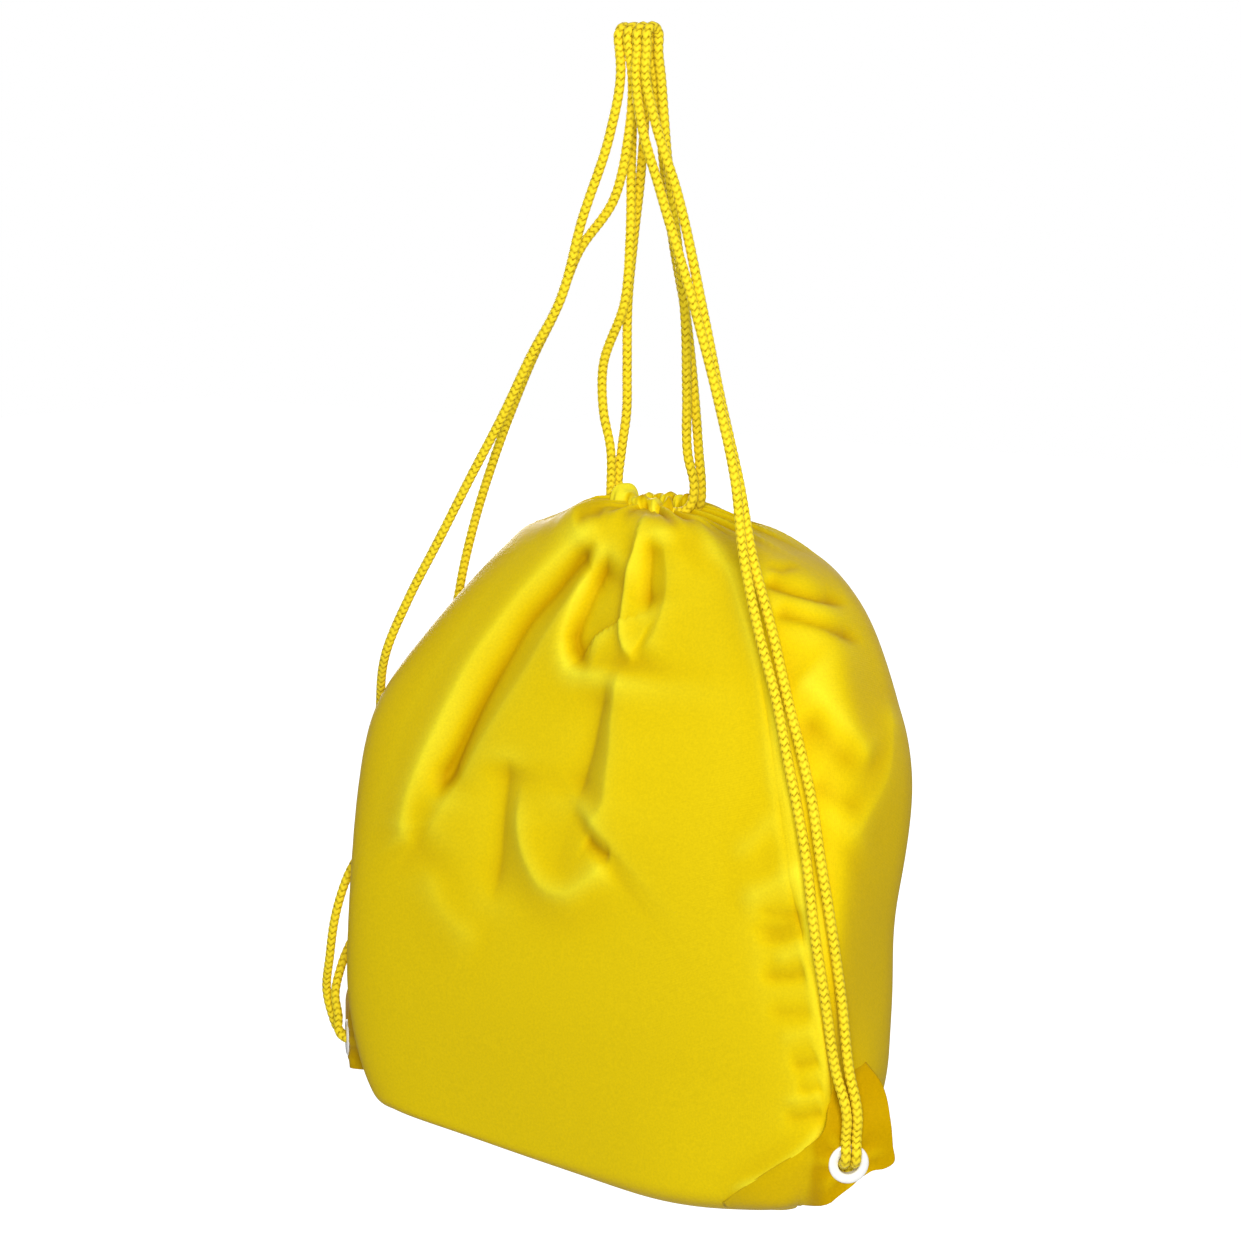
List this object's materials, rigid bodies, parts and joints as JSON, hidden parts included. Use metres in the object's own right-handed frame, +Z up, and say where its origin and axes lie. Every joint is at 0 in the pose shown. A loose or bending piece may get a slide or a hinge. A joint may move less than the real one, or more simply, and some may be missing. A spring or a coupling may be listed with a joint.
{
  "type": "drawstring backpack",
  "caption": "Soft drawstring backpack hanging filled by its cords, mouth gathered shut, cords running from the casing to knotted eyelets at the lower corners.",
  "frame": {"origin": "middle of the hook that the cord loops hang on, on the loops' common axis", "axes": "+X to the right side of the bag as its front is looked at, +Y to the back, +Z up; the loops' axis is X"},
  "size_m": [0.3558, 0.1309, 0.58],
  "materials": {
    "bag_fabric": "fine plain-woven polyester with a slight sheen",
    "drawcord": "braided polyester cord",
    "eyelet": "white gloss"
  },
  "bodies": {
    "loops": {"left_hook_loops": "drawcord", "right_hook_loops": "drawcord"},
    "bag": {"front_panel": "bag_fabric", "back_panel": "bag_fabric", "front_casing": "bag_fabric", "back_casing": "bag_fabric", "left_side_seam": "bag_fabric", "right_side_seam": "bag_fabric", "bottom_seam": "bag_fabric", "left_strap_cord_outer": "drawcord", "left_strap_cord_inner": "drawcord", "right_strap_cord_outer": "drawcord", "right_strap_cord_inner": "drawcord", "left_mouth_cord": "drawcord", "right_mouth_cord": "drawcord", "left_loop_tails": "drawcord", "right_loop_tails": "drawcord", "left_knot": "drawcord", "right_knot": "drawcord", "left_eyelet": "eyelet", "right_eyelet": "eyelet", "left_eyelet_washer": "eyelet", "right_eyelet_washer": "eyelet", "left_corner_patch": "bag_fabric", "right_corner_patch": "bag_fabric"}
  },
  "joints": [
    {"name": "bag_swing", "type": "hinge", "parent": "loops", "child": "bag", "pos_m": [0, 0, 0], "axis": [1, 0, 0], "range_deg": [-30, 30]}
  ]
}
